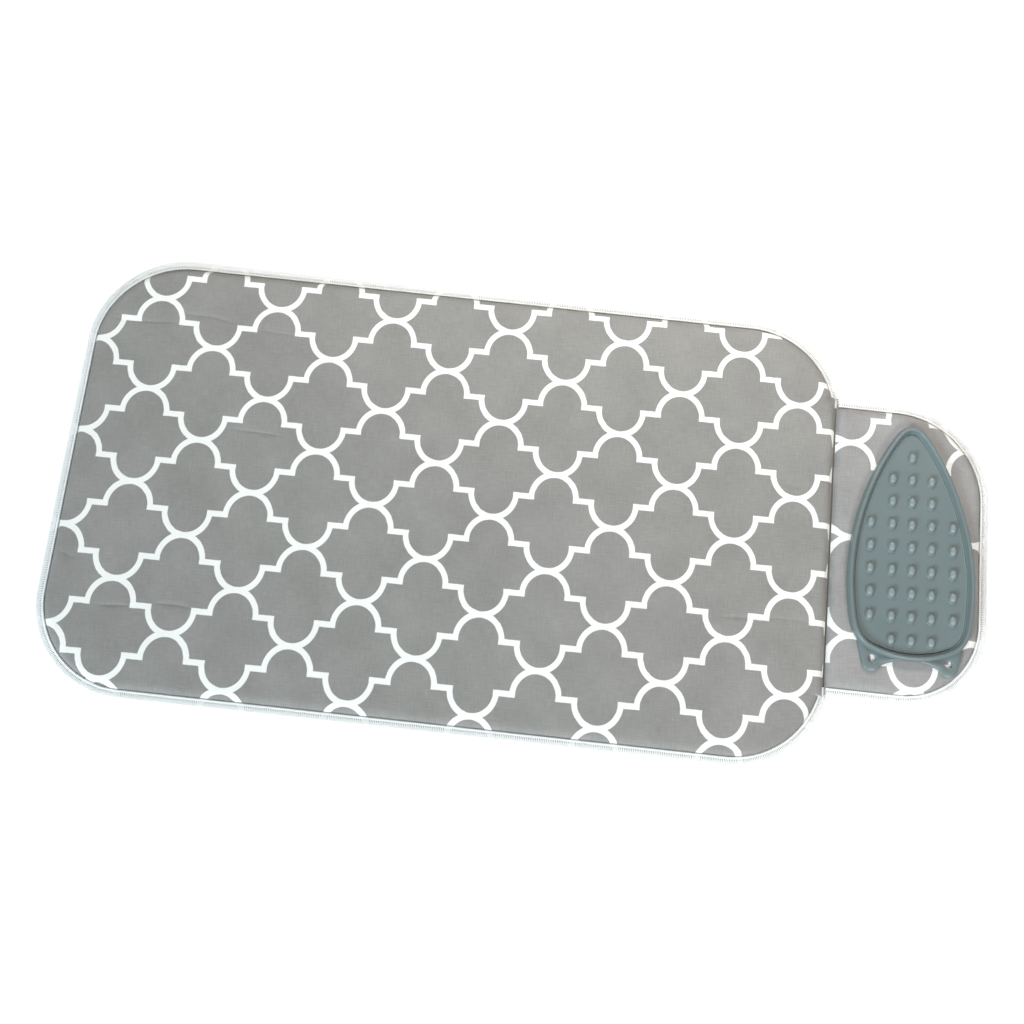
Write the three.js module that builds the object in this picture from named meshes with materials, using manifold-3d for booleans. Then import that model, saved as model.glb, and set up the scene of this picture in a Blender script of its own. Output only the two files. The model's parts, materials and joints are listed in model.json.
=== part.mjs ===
// Portable ironing pad lying flat: a large padded panel, a smaller padded flap sewn to its
// right-hand end, and a loose silicone iron rest that lies on the flap. Millimetres, +Z up.
// The origin is under the middle of the whole pad, on the surface that it lies on.
// +X runs along the long side towards the flap, and the rest's tip points along +Y.

import * as THREE from 'three';
import { mergeVertices } from 'three/addons/utils/BufferGeometryUtils.js';
import Module from 'manifold-3d';

// Main panel, measured over its overlocked edge
const MAIN_LENGTH = 850;
const MAIN_WIDTH = 495;
const MAIN_CORNER = 106;

// Flap, from the joining seam to its outer edge
const FLAP_LENGTH = 172;
const FLAP_WIDTH = 330;
const FLAP_FAR_CORNER = 103;
const FLAP_NEAR_CORNER = 92;
const FLAP_ROOT_CORNER = 4;

// Layers of both panels, from the underside up, and the gap left between neighbours
const BACKING = 0.8;
const FELT = 3.6;
const BARRIER = 0.4;
const WADDING = 3.4;
const COVER = 0.8;
const LAYER_GAP = 0.3;

// Overlocked edge: a band of thread folded round the raw edges of both cloths
const BAND_WIDTH = 9;
const BAND_THREAD = 0.6;

// How the cover rolls down to the edge, and how the backing lifts to meet it
const SHOULDER_RUN = 9;
const BACKING_RAMP = 6;

// Joining seam: what is left of each panel's flat edge, the space between the two edges,
// and the cotton strip sewn across them underneath, with the backing lifted clear of it
const SEAM_LIP = 1.5;
const SEAM_SPREAD = 2.4;
const STRIP_WIDTH = 20;
const STRIP_THICKNESS = 0.6;
const STRIP_MARGIN = 1.4;

// Iron rest, from heel to tip, and where it lies on the flap
const REST_LENGTH = 258;
const REST_WIDTH = 137;
const REST_WIDEST = 85;
const REST_HEEL = 92;
const REST_HEEL_BOW = 10.5;
const REST_CORNER = 28;
const REST_CORNER_DRAW = 4;
const REST_TIP = 34;
const REST_TIP_DEPTH = 10;
const REST_FROM_SEAM = 85;
const REST_SHIFT = 8.8;
const REST_TURN = 1.1;

// Handles of the rest's outline curves, as shares of the runs that they shape
const HEEL_HOLD = 0.56;
const SIDE_HOLD = 0.38;
const POINT_HOLD = 0.24;
const POINT_FLARE = 0.66;
const TIP_HOLD = 0.54;

// Rim, floor and outer rounding of the rest
const RIM_HEIGHT = 9;
const RIM_WIDTH = 9;
const RIM_SLOPE = 3;
const RIM_DRAFT = 1.5;
const REST_ROUND = 1.2;
const REST_FLOOR = 3;

// Studs: rows from tip to heel, where rows and columns lie, and the clear space kept to the rim
const STUD_ROWS = 9;
const STUD_WIDTH = 10;
const STUD_LENGTH = 14;
const STUD_HEIGHT = 5;
const STUD_WALL = 1.5;
const STUD_FROM_TIP = 35;
const STUD_FROM_HEEL = 21.5;
const STUD_INNER_COLUMN = 21.3;
const STUD_FROM_SIDE = 24;
const STUD_CLEARANCE = 1.5;

// Ears with hanging holes at the rest's heel: how far each reaches past the heel, half its width,
// and how far its outer and inner roots lie from its hole
const EAR_SPACING = 81;
const EAR_REACH = 13.6;
const EAR_HALF = 10;
const EAR_OUTER_ROOT = 17;
const EAR_OUTER_RISE = 24;
const EAR_INNER_ROOT = 36;
const EAR_INNER_RISE = 1;
const EAR_HOLE = 8.4;

// Handles of the ear's curves, as shares of half its width
const EAR_SWEEP = 1.8;
const EAR_DIP = 0.2;
const EAR_INNER_HOLD = 0.6;
const EAR_OUTER_HOLD = 0.75;

// Facets
const CORNER_STEPS = 8;
const SHOULDER_STEPS = 5;
const LAYER_STEPS = 3;
const REST_STEPS = 6;
const STUD_SIDES = 12;
const STUD_STEPS = 3;
const EAR_STEPS = 12;
const LEAST_CORNER = 0.5;
const CUT_MARGIN = 1;

// Heights above the surface that the pad lies on
const backingEdgeBase = Math.max(BAND_THREAD, STRIP_THICKNESS) + LAYER_GAP;
const coverEdgeBase = backingEdgeBase + BACKING + LAYER_GAP;
const bandSlotTop = coverEdgeBase + COVER + LAYER_GAP;
const bandTop = bandSlotTop + BAND_THREAD;
const feltBase = BACKING + LAYER_GAP;
const barrierBase = feltBase + FELT + LAYER_GAP;
const waddingBase = barrierBase + BARRIER + LAYER_GAP;
const coverBase = waddingBase + WADDING + LAYER_GAP;
const padTop = coverBase + COVER;
const shoulderRise = coverBase - coverEdgeBase;

// Distances in from the outer edge
const rawEdge = BAND_THREAD + LAYER_GAP;
const shoulderFoot = BAND_WIDTH + LAYER_GAP;
const seamInset = shoulderFoot - SEAM_LIP - SEAM_SPREAD / 2;
const backingEdge = seamInset + STRIP_WIDTH / 2 + STRIP_MARGIN;
const bandSpare = 2 * BAND_WIDTH;

// Places along X
const totalLength = MAIN_LENGTH - seamInset + FLAP_LENGTH;
const mainCentre = (MAIN_LENGTH - totalLength) / 2;
const seamX = mainCentre + MAIN_LENGTH / 2 - seamInset;
const flapRoot = seamX + SEAM_SPREAD / 2;
const flapReach = FLAP_LENGTH - SEAM_SPREAD / 2;
const notchHalf = FLAP_WIDTH / 2 + LAYER_GAP;

const printedCotton = { color: '#a19f9b', roughness: 0.9, metalness: 0 };
const whiteThread = { color: '#f2f2f0', roughness: 0.85, metalness: 0 };
const paleWadding = { color: '#e6e2d8', roughness: 0.95, metalness: 0 };
const silverCloth = { color: '#c4c7c9', roughness: 0.45, metalness: 0.6 };
const greyFelt = { color: '#b9b6b0', roughness: 0.95, metalness: 0 };
const backCloth = { color: '#c9c8c5', roughness: 0.9, metalness: 0 };
const greySilicone = { color: '#7f8d8d', roughness: 0.55, metalness: 0 };

const wasm = await Module();
wasm.setup();

// Closed solid through a stack of rings with the same number of points. Each ring runs anticlockwise
// seen from the end of the stack. Cap triangles close both ends and face the end of the stack;
// with none, the last ring joins the first.
function loft(rings, capTriangles = []) {
  const size = rings[0].length;
  const joins = capTriangles.length ? rings.length - 1 : rings.length;
  const faces = [];
  for (let ring = 0; ring < joins; ring++) {
    const next = (ring + 1) % rings.length;
    for (let k = 0; k < size; k++) {
      const a = ring * size + k;
      const b = ring * size + ((k + 1) % size);
      const c = next * size + ((k + 1) % size);
      const d = next * size + k;
      faces.push(a, b, c, a, c, d);
    }
  }
  const last = (rings.length - 1) * size;
  for (const [p, q, r] of capTriangles) {
    faces.push(r, q, p, last + p, last + q, last + r);
  }
  const geometry = new THREE.BufferGeometry();
  geometry.setAttribute('position', new THREE.Float32BufferAttribute(rings.flat(2), 3));
  geometry.setIndex(faces);
  return geometry;
}

// Triangles that close a ring whose outline bulges everywhere
function fanCap(size) {
  const triangles = [];
  for (let k = 1; k < size - 1; k++) {
    triangles.push([0, k, k + 1]);
  }
  return triangles;
}

// Loft through outlines: each profile point is a distance in from the edge and a height
function loftOutlines(outline, profile) {
  const rings = profile.map(([inset, z]) => outline(inset).map(([x, y]) => [x, y, z]));
  return loft(rings, fanCap(rings[0].length));
}

function toSolid(geometry) {
  const bare = geometry.clone();
  bare.deleteAttribute('normal');
  bare.deleteAttribute('uv');
  const merged = mergeVertices(bare);
  const corners = merged.index.array;
  const triangles = [];
  for (let k = 0; k < corners.length; k += 3) {
    const [a, b, c] = corners.slice(k, k + 3);
    if (a !== b && b !== c && c !== a) {
      triangles.push(a, b, c);
    }
  }
  const mesh = new wasm.Mesh({
    numProp: 3,
    vertProperties: new Float32Array(merged.attributes.position.array),
    triVerts: new Uint32Array(triangles),
  });
  return new wasm.Manifold(mesh);
}

function toGeometry(solid) {
  const mesh = solid.getMesh();
  const geometry = new THREE.BufferGeometry();
  geometry.setAttribute('position', new THREE.Float32BufferAttribute(mesh.vertProperties, 3));
  geometry.setIndex(Array.from(mesh.triVerts));
  return geometry;
}

function piece(name, geometry, finish) {
  const mesh = new THREE.Mesh(geometry, new THREE.MeshStandardMaterial(finish));
  mesh.name = name;
  return mesh;
}

// Quarter arc of a corner, anticlockwise from the given quarter turn
function cornerArc(x, y, radius, quarter) {
  const points = [];
  for (let k = 0; k <= CORNER_STEPS; k++) {
    const angle = (quarter + k / CORNER_STEPS) * (Math.PI / 2);
    points.push([x + radius * Math.cos(angle), y + radius * Math.sin(angle)]);
  }
  return points;
}

// Outline of a plate, rounded by one radius on the left, and on the right by one for each corner
function plateOutline(left, right, half, leftRadius, farRadius, nearRadius) {
  const most = Math.min(half, right - left) - LEAST_CORNER;
  const fit = (radius) => Math.min(Math.max(radius, LEAST_CORNER), most);
  const l = fit(leftRadius);
  const far = fit(farRadius);
  const near = fit(nearRadius);
  return [
    ...cornerArc(right - far, half - far, far, 0),
    ...cornerArc(left + l, half - l, l, 1),
    ...cornerArc(left + l, -half + l, l, 2),
    ...cornerArc(right - near, -half + near, near, 3),
  ];
}

// Main panel outline, about the panel's own middle
function mainOutline(inset) {
  const end = MAIN_LENGTH / 2 - inset;
  const radius = MAIN_CORNER - inset;
  return plateOutline(-end, end, MAIN_WIDTH / 2 - inset, radius, radius, radius);
}

// Flap outline, from its root edge at the seam
function flapPlate(root, inset) {
  const half = FLAP_WIDTH / 2 - inset;
  const corners = [FLAP_ROOT_CORNER, FLAP_FAR_CORNER, FLAP_NEAR_CORNER];
  return plateOutline(root, flapReach - inset, half, ...corners.map((radius) => radius - inset));
}

// The flap's cloths and layers have a narrower flat edge at the root
function flapOutline(inset) {
  return flapPlate(Math.max(0, inset - shoulderFoot + SEAM_LIP), inset);
}

// The flap's band is made longer than the flap, to be cut off square at the root
function flapBandOutline(inset) {
  return flapPlate(inset - bandSpare, inset);
}

// Cover: a flat raw edge, a shoulder that rolls up as a quarter ellipse, and a flat field
function coverProfile() {
  const lower = [[rawEdge, coverEdgeBase]];
  const upper = [[rawEdge, coverEdgeBase + COVER]];
  for (let k = 0; k <= SHOULDER_STEPS; k++) {
    const angle = (k / SHOULDER_STEPS) * (Math.PI / 2);
    const z = coverEdgeBase + shoulderRise * Math.sin(angle);
    const bend = 1 - Math.cos(angle);
    lower.push([shoulderFoot + COVER + (SHOULDER_RUN - COVER) * bend, z]);
    upper.push([shoulderFoot + SHOULDER_RUN * bend, z + COVER]);
  }
  return [...lower.reverse(), ...upper];
}

// Distance in from the edge of the cover's inner face at a height
function coverInside(z) {
  const share = Math.min(Math.max((z - coverEdgeBase) / shoulderRise, 0), 1);
  return shoulderFoot + COVER + (SHOULDER_RUN - COVER) * (1 - Math.sqrt(1 - share * share));
}

// Backing: flat on the surface, lifted near its edge to meet the cover inside the band
function backingProfile() {
  const lower = [
    [backingEdge + BACKING_RAMP, 0],
    [backingEdge, backingEdgeBase],
    [rawEdge, backingEdgeBase],
  ];
  const upper = lower.map(([inset, z]) => [inset, z + BACKING]);
  return [...lower, ...upper.reverse()];
}

// Side of a filling layer, which follows the cover's shoulder from one height to another
function layerSide(base, top) {
  const side = [];
  for (let k = 0; k <= LAYER_STEPS; k++) {
    const z = base + ((top - base) * k) / LAYER_STEPS;
    side.push([coverInside(z + LAYER_GAP) + LAYER_GAP, z]);
  }
  return side;
}

function feltProfile() {
  return [
    [backingEdge + BACKING_RAMP + LAYER_GAP, feltBase],
    [backingEdge, coverEdgeBase],
    ...layerSide(coverEdgeBase, feltBase + FELT),
  ];
}

function barrierProfile() {
  return layerSide(barrierBase, barrierBase + BARRIER);
}

function waddingProfile() {
  return layerSide(waddingBase, waddingBase + WADDING);
}

// Overlocked band: thread folded round the raw edges, open on the inside, all along an outline
function bandGeometry(outline) {
  const section = [
    [BAND_WIDTH, bandTop],
    [0, bandTop],
    [0, 0],
    [BAND_WIDTH, 0],
    [BAND_WIDTH, BAND_THREAD],
    [BAND_THREAD, BAND_THREAD],
    [BAND_THREAD, bandSlotTop],
    [BAND_WIDTH, bandSlotTop],
  ];
  const lines = section.map(([inset, z]) => outline(inset).map(([x, y]) => [x, y, z]));
  const rings = lines[0].map((_, step) => lines.map((line) => line[step]));
  return loft(rings);
}

// Take away what lies between two places along X, within a half width to either side
function cutAcross(geometry, from, to, half) {
  const height = padTop + 2 * CUT_MARGIN;
  const block = new THREE.BoxGeometry(to - from, 2 * half, height);
  block.translate((from + to) / 2, 0, height / 2 - CUT_MARGIN);
  return toGeometry(toSolid(geometry).subtract(toSolid(block)));
}

// The main panel's cloths stop at the seam along the flap, and its band stops at either side
function cutMainCloth(geometry) {
  const end = MAIN_LENGTH / 2;
  return cutAcross(geometry, end - shoulderFoot + SEAM_LIP, end + CUT_MARGIN, notchHalf);
}

function mainBand() {
  const end = MAIN_LENGTH / 2;
  return cutAcross(bandGeometry(mainOutline), end - MAIN_CORNER, end + CUT_MARGIN, notchHalf);
}

function flapBand() {
  const band = bandGeometry(flapBandOutline);
  return cutAcross(band, -bandSpare - BAND_WIDTH, 0, FLAP_WIDTH / 2 + CUT_MARGIN);
}

function mainPanel() {
  const group = new THREE.Group();
  group.position.x = mainCentre;
  const cover = cutMainCloth(loftOutlines(mainOutline, coverProfile()));
  const backing = cutMainCloth(loftOutlines(mainOutline, backingProfile()));
  group.add(piece('main_top_cover', cover, printedCotton));
  group.add(piece('main_wadding', loftOutlines(mainOutline, waddingProfile()), paleWadding));
  group.add(piece('main_heat_barrier', loftOutlines(mainOutline, barrierProfile()), silverCloth));
  group.add(piece('main_felt', loftOutlines(mainOutline, feltProfile()), greyFelt));
  group.add(piece('main_back_cover', backing, backCloth));
  group.add(piece('main_edge_overlock', mainBand(), whiteThread));
  return group;
}

function flapPanel() {
  const group = new THREE.Group();
  group.position.x = flapRoot;
  group.add(piece('flap_top_cover', loftOutlines(flapOutline, coverProfile()), printedCotton));
  group.add(piece('flap_wadding', loftOutlines(flapOutline, waddingProfile()), paleWadding));
  group.add(piece('flap_heat_barrier', loftOutlines(flapOutline, barrierProfile()), silverCloth));
  group.add(piece('flap_felt', loftOutlines(flapOutline, feltProfile()), greyFelt));
  group.add(piece('flap_back_cover', loftOutlines(flapOutline, backingProfile()), backCloth));
  group.add(piece('flap_edge_overlock', flapBand(), whiteThread));
  return group;
}

// Cotton strip across the seam underneath, between the flap's two bands
function hingeStrip() {
  const length = FLAP_WIDTH - 2 * shoulderFoot;
  const geometry = new THREE.BoxGeometry(STRIP_WIDTH, length, STRIP_THICKNESS);
  const strip = piece('hinge_strip', geometry, backCloth);
  strip.position.set(seamX, 0, STRIP_THICKNESS / 2);
  return strip;
}

// Right-hand side of the rest's outline, from the middle of its heel to its tip
function restSide() {
  const heel = -REST_LENGTH / 2;
  const tip = REST_LENGTH / 2;
  const half = REST_WIDTH / 2;
  const cornerY = heel + REST_HEEL_BOW;
  const sideX = half - REST_CORNER_DRAW;
  const sideY = cornerY + REST_CORNER;
  const widestY = heel + REST_WIDEST;
  const tipY = tip - REST_TIP_DEPTH;
  const heelX = REST_HEEL / 2;
  const heelSlope = REST_HEEL_BOW / (heelX * (1 - HEEL_HOLD));
  const bendX = sideX - REST_CORNER_DRAW;
  const sideRun = tipY - widestY;
  const holdY = widestY + sideRun * SIDE_HOLD;
  const pointY = tipY - sideRun * POINT_HOLD;
  const shape = new THREE.Shape();
  shape.moveTo(0, heel);
  shape.quadraticCurveTo(heelX * HEEL_HOLD, heel, heelX, cornerY);
  shape.quadraticCurveTo(bendX, cornerY + (bendX - heelX) * heelSlope, sideX, sideY);
  shape.quadraticCurveTo(half, (sideY + widestY) / 2, half, widestY);
  shape.bezierCurveTo(half, holdY, half * POINT_FLARE, pointY, REST_TIP / 2, tipY);
  shape.quadraticCurveTo((REST_TIP / 2) * TIP_HOLD, tip, 0, tip);
  return shape.getPoints(REST_STEPS);
}

// Outline of the rest, anticlockwise from the middle of its heel, about its middle
function restOutline() {
  const right = restSide();
  const left = right.slice(1, -1).reverse().map((p) => new THREE.Vector2(-p.x, p.y));
  return [...right, ...left];
}

// Half the rest's width at a place along it
function restHalfWidth(y) {
  const side = restSide();
  const next = side.findIndex((point) => point.y > y);
  const from = side[next - 1];
  const to = side[next];
  return THREE.MathUtils.mapLinear(y, from.y, to.y, from.x, to.x);
}

// The rest's outline drawn in by a distance, square to its edge
function restInset(inset) {
  const points = restOutline();
  return points.map((point, k) => {
    const before = points[(k + points.length - 1) % points.length];
    const after = points[(k + 1) % points.length];
    const along = after.clone().sub(before).normalize();
    return [point.x - along.y * inset, point.y + along.x * inset];
  });
}

function restTray() {
  return loftOutlines(restInset, [
    [REST_ROUND, 0],
    [0, REST_ROUND],
    [RIM_DRAFT, RIM_HEIGHT - REST_ROUND],
    [RIM_DRAFT + REST_ROUND, RIM_HEIGHT],
    [RIM_WIDTH - RIM_SLOPE, RIM_HEIGHT],
    [RIM_WIDTH, REST_FLOOR],
  ]);
}

// Oval stud with a domed top, rooted in the floor
function restStud() {
  const root = REST_FLOOR / 2;
  const wallTop = REST_FLOOR + STUD_WALL;
  const profile = [new THREE.Vector2(0, root), new THREE.Vector2(1, root)];
  for (let k = 0; k <= STUD_STEPS; k++) {
    const angle = (k / STUD_STEPS) * (Math.PI / 2);
    const radius = k === STUD_STEPS ? 0 : Math.cos(angle);
    profile.push(new THREE.Vector2(radius, wallTop + (STUD_HEIGHT - STUD_WALL) * Math.sin(angle)));
  }
  const stud = new THREE.LatheGeometry(profile, STUD_SIDES);
  stud.rotateX(Math.PI / 2);
  stud.scale(STUD_WIDTH / 2, STUD_LENGTH / 2, 1);
  return stud;
}

// A middle column and two to either side of it, wherever a row has room for them inside the rim
function studPlaces() {
  const columns = [STUD_INNER_COLUMN, REST_WIDTH / 2 - STUD_FROM_SIDE];
  const first = REST_LENGTH / 2 - STUD_FROM_TIP;
  const pitch = (REST_LENGTH - STUD_FROM_TIP - STUD_FROM_HEEL) / (STUD_ROWS - 1);
  const places = [];
  for (let row = 0; row < STUD_ROWS; row++) {
    const y = first - row * pitch;
    const reach = restHalfWidth(y) - RIM_WIDTH - STUD_CLEARANCE - STUD_WIDTH / 2;
    places.push([0, y]);
    for (const x of columns.filter((column) => column <= reach)) {
      places.push([-x, y], [x, y]);
    }
  }
  return places;
}

// Ear on one side of the heel, with a hole: its side runs on from the tray's, and its inner edge
// sweeps to the heel
function restEar(side) {
  const heel = -REST_LENGTH / 2;
  const x = EAR_SPACING / 2;
  const innerX = x - EAR_INNER_ROOT;
  const innerY = heel + EAR_INNER_RISE;
  const bottom = heel - EAR_REACH;
  const middle = heel - EAR_REACH / 2;
  const shape = new THREE.Shape();
  shape.moveTo(innerX, innerY);
  shape.quadraticCurveTo(x - EAR_HALF * EAR_SWEEP, heel - EAR_HALF * EAR_DIP, x - EAR_HALF, middle);
  shape.quadraticCurveTo(x - EAR_HALF * EAR_INNER_HOLD, bottom, x, bottom);
  shape.quadraticCurveTo(x + EAR_HALF * EAR_OUTER_HOLD, bottom, x + EAR_HALF, middle);
  shape.lineTo(x + EAR_OUTER_ROOT, heel + EAR_OUTER_RISE);
  shape.lineTo(innerX, innerY + RIM_WIDTH);
  const hole = new THREE.Path();
  hole.absarc(x, heel, EAR_HOLE / 2, 0, Math.PI * 2, true);
  shape.holes.push(hole);
  const options = { depth: REST_FLOOR, bevelEnabled: false, curveSegments: EAR_STEPS };
  const ear = new THREE.ExtrudeGeometry(shape, options);
  if (side < 0) {
    ear.rotateY(Math.PI);
    ear.translate(0, 0, REST_FLOOR);
  }
  return ear;
}

function ironRest() {
  let rest = toSolid(restTray());
  for (const [x, y] of studPlaces()) {
    const stud = restStud();
    stud.translate(x, y, 0);
    rest = rest.add(toSolid(stud));
  }
  for (const side of [-1, 1]) {
    rest = rest.add(toSolid(restEar(side)));
  }
  const mesh = piece('iron_rest', toGeometry(rest), greySilicone);
  mesh.position.set(seamX + REST_FROM_SEAM, REST_SHIFT, padTop + LAYER_GAP);
  mesh.rotation.z = THREE.MathUtils.degToRad(REST_TURN);
  return mesh;
}

const ironingPad = new THREE.Group();
ironingPad.add(mainPanel(), flapPanel(), hingeStrip(), ironRest());

export default ironingPad;
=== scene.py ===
# Looks of a portable ironing pad: two padded panels in printed cotton with overlocked edges, joined by a
# sewn seam, and a moulded silicone iron rest that lies on the smaller panel. Metres, +Z up, as the frame.

import json
import math
from dataclasses import dataclass

import bmesh
import bpy
import numpy as np
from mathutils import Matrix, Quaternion, Vector, noise
from mathutils.geometry import delaunay_2d_cdt


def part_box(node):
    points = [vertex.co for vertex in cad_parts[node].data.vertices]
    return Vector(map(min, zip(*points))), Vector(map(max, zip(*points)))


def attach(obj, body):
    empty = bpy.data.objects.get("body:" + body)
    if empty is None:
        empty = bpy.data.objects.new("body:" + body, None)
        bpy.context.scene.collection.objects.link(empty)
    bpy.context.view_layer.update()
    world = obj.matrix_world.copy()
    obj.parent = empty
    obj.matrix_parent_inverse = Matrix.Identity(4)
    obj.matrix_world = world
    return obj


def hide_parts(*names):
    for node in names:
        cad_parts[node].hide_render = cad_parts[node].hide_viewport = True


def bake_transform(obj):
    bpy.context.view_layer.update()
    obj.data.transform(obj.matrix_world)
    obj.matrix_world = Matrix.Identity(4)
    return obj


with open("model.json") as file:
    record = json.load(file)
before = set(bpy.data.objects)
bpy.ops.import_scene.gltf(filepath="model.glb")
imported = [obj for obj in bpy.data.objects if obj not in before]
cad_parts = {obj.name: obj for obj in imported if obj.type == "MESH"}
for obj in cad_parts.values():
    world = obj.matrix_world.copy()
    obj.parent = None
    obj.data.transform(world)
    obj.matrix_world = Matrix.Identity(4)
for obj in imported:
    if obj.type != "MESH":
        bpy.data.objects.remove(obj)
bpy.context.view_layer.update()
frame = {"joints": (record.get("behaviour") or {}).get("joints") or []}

MM = 0.001

# Plan of the panels, where the frame's boxes don't give it
MAIN_CORNER = 106 * MM
FLAP_FAR_CORNER = 103 * MM
FLAP_NEAR_CORNER = 92 * MM
FLAP_ROOT_CORNER = 1.5 * MM
LEAST_CORNER = 0.5 * MM
BAND_WIDTH = 9 * MM
SEAM_GAP = 1.2 * MM
SEAM_FOOT = 2.0 * MM
SHOULDER_RUN = 9 * MM
CLOTH_GAP = 0.3 * MM
COVER = 0.8 * MM
BACKING = 0.8 * MM

# How finely the pieces are made
RING_STEP = 5 * MM
EDGE_STEP = 1 * MM
FIELD_STEP = 6 * MM
LAYER_STEP = 14 * MM
FLANGE_STEPS = 2
SHOULDER_STEPS = 7
LAYER_SIDE_STEPS = 3
STRIP_COLUMNS = 13
NET_TOLERANCE = 1e-7
TINY = 1e-12

# Angles, in radians, up to which two triangles become one face
JOIN_BEND = 0.4
JOIN_SKEW = 0.6

# Cotton of the covers, while the filling swells it
CLOTH_QUALITY = 3
CLOTH_MASS = 0.3
CLOTH_STRETCH = 15
CLOTH_SHEAR = 5
CLOTH_BENDING = 0.5

# How the filling lifts the cover, and how the cloth lies on it
SWELL = 1.2 * MM
SLACK = 0.6 * MM
SQUEEZE = 0.2 * MM
SWELL_FRAMES = 20
SWELL_PRESSURE = 4.0
SEAM_SWELL = 0.1 * MM
PUCKER = 0.3 * MM
PUCKER_PITCH = 13 * MM
WAVE = 0.35 * MM
WAVE_SIZE = 90 * MM
RIPPLE = 0.12 * MM
RIPPLE_SIZE = 28 * MM
MAIN_SEED = 3.0
FLAP_SEED = 11.0
RIPPLE_SEED = 7
REST_CLEARANCE = 0.15 * MM

# Layers inside, and the ramp at the edge of the back cloth
LAYER_UNEVEN = 0.1 * MM
BACKING_RAMP = 6 * MM

# Creases pressed into the cloth: points along each one, in millimetres of the frame
MAIN_CREASES = [
    [(-493, 170), (-450, 168), (-405, 171)],
    [(-405, 182), (-370, 182), (-339, 176)],
    [(-319, 172), (-273, 170)],
    [(-332, 54), (-302, 54), (-270, 52)],
    [(-380, -145), (-358, -144), (-338, -146)],
    [(-496, -98), (-469, -106)],
    [(-440, -153), (-402, -150)],
    [(209, -95), (254, -92), (294, -88), (335, -92)],
    [(311, -61), (337, -59)],
    [(276, 58), (314, 60)],
]
FLAP_CREASES = [
    [(322, 93), (368, 101)],
    [(322, 81), (362, 85)],
    [(322, 31), (366, 31)],
    [(322, -74), (362, -70)],
    [(456, 104), (502, 85)],
    [(460, 50), (506, 41)],
    [(462, 33), (512, 30)],
]
CREASE_DEPTH = 1.5 * MM
CREASE_WIDTH = 1.4 * MM
CREASE_STEP = 4 * MM
CREASE_LEAST_STEPS = 3
CREASE_FADE = 0.25
CREASE_ROWS = (-4.5 * MM, -2.2 * MM, -1.0 * MM, 0.0, 1.0 * MM, 2.2 * MM, 4.5 * MM)

# Overlock thread
THREAD = 0.45 * MM
THREAD_SIDES = 4
STITCH_PITCH = 1.9 * MM
LINE_PITCH = 1.0 * MM

# Each stitch: share of the pitch, distance in from the edge and height, both in millimetres
LOOP_STITCH = [
    (0.00, 8.0, 3.20), (0.12, 5.6, 3.30), (0.27, 2.2, 3.25), (0.34, 0.40, 2.85), (0.40, 0.35, 1.50),
    (0.45, 1.6, 0.52), (0.50, 7.6, 0.42), (0.55, 1.6, 0.52), (0.60, 0.35, 1.50), (0.66, 0.40, 2.85),
    (0.73, 2.2, 3.25), (0.88, 5.6, 3.30),
]
LINE_STITCH = [(0.00, 6.0, 3.35), (0.25, 7.6, 4.00), (0.50, 9.6, 3.55), (0.75, 7.7, 4.10)]
CHAIN_STITCH = [(0.00, 0.75, 3.15), (0.25, 0.40, 2.60), (0.50, 0.75, 2.20), (0.75, 1.20, 2.90)]

# Print: a trellis of four-lobed cells, from one of its crossings on each panel
PRINT_WIDTH = 130.9 * MM
PRINT_HEIGHT = 106.9 * MM
PRINT_LOBE = 24.4 * MM
PRINT_LINE = 6.4 * MM
PRINT_EDGE = 0.45 * MM
PRINT_WOBBLE = 0.8 * MM
MAIN_PRINT = (-428.3 * MM, 197.8 * MM)
MAIN_PRINT_TURN = math.radians(0.5)
FLAP_PRINT = (419.9 * MM, 63.5 * MM)
FLAP_PRINT_TURN = math.radians(2.1)

# Iron rest, from heel to tip
REST_LENGTH = 258 * MM
REST_WIDTH = 137 * MM
REST_WIDEST = 85 * MM
REST_HEEL = 92 * MM
REST_HEEL_BOW = 10.5 * MM
REST_CORNER = 28 * MM
REST_CORNER_DRAW = 4 * MM
REST_TIP = 34 * MM
REST_TIP_DEPTH = 10 * MM
REST_FROM_SEAM = 85 * MM
REST_SHIFT = 8.8 * MM
REST_TURN = math.radians(1.1)
REST_STEP = 2.5 * MM
REST_CURVE_STEPS = 40
REST_FLOOR = 3 * MM
RIM_WIDTH = 9 * MM

# How far the handles of the rest's curves reach, as shares of their runs
HEEL_HOLD = 0.56
SIDE_HOLD = 0.38
POINT_HOLD = 0.24
POINT_FLARE = 0.66
TIP_HOLD = 0.54

# Section of the rim: distances in from the edge and heights, in millimetres
RIM_SECTION = [
    (0.9, 0.0), (0.25, 0.35), (0.0, 1.2), (0.35, 4.2), (0.9, 6.9), (1.4, 8.0), (2.2, 8.75), (3.2, 9.0),
    (4.2, 8.85), (5.0, 8.2), (5.6, 7.0), (6.1, 5.4), (6.5, 3.7), (7.0, 2.6), (7.6, 2.3), (8.2, 2.6),
    (8.6, 3.2), (9.0, 3.35), (9.4, 3.0), (9.8, 3.0),
]

# Which point of the rim's section is the bead that gets a painted highlight
RIM_BEAD = 17

# Studs of the rest, and how steeply each rises: shares of its radius and of its height
STUD_ROWS = 9
STUD_WIDTH = 10 * MM
STUD_LENGTH = 14 * MM
STUD_HEIGHT = 5 * MM
STUD_FROM_TIP = 35 * MM
STUD_FROM_HEEL = 21.5 * MM
STUD_INNER_COLUMN = 21.3 * MM
STUD_FROM_SIDE = 24 * MM
STUD_CLEARANCE = 1.5 * MM
STUD_SIDES = 20
# Share of a stud's height above which its top gets the painted highlight
STUD_HIGHLIGHT_FROM = 0.35
STUD_SECTION = [(1.12, 0.0), (1.02, 0.0), (0.96, 0.14), (0.86, 0.4), (0.7, 0.67), (0.5, 0.87), (0.22, 1.0)]

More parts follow.
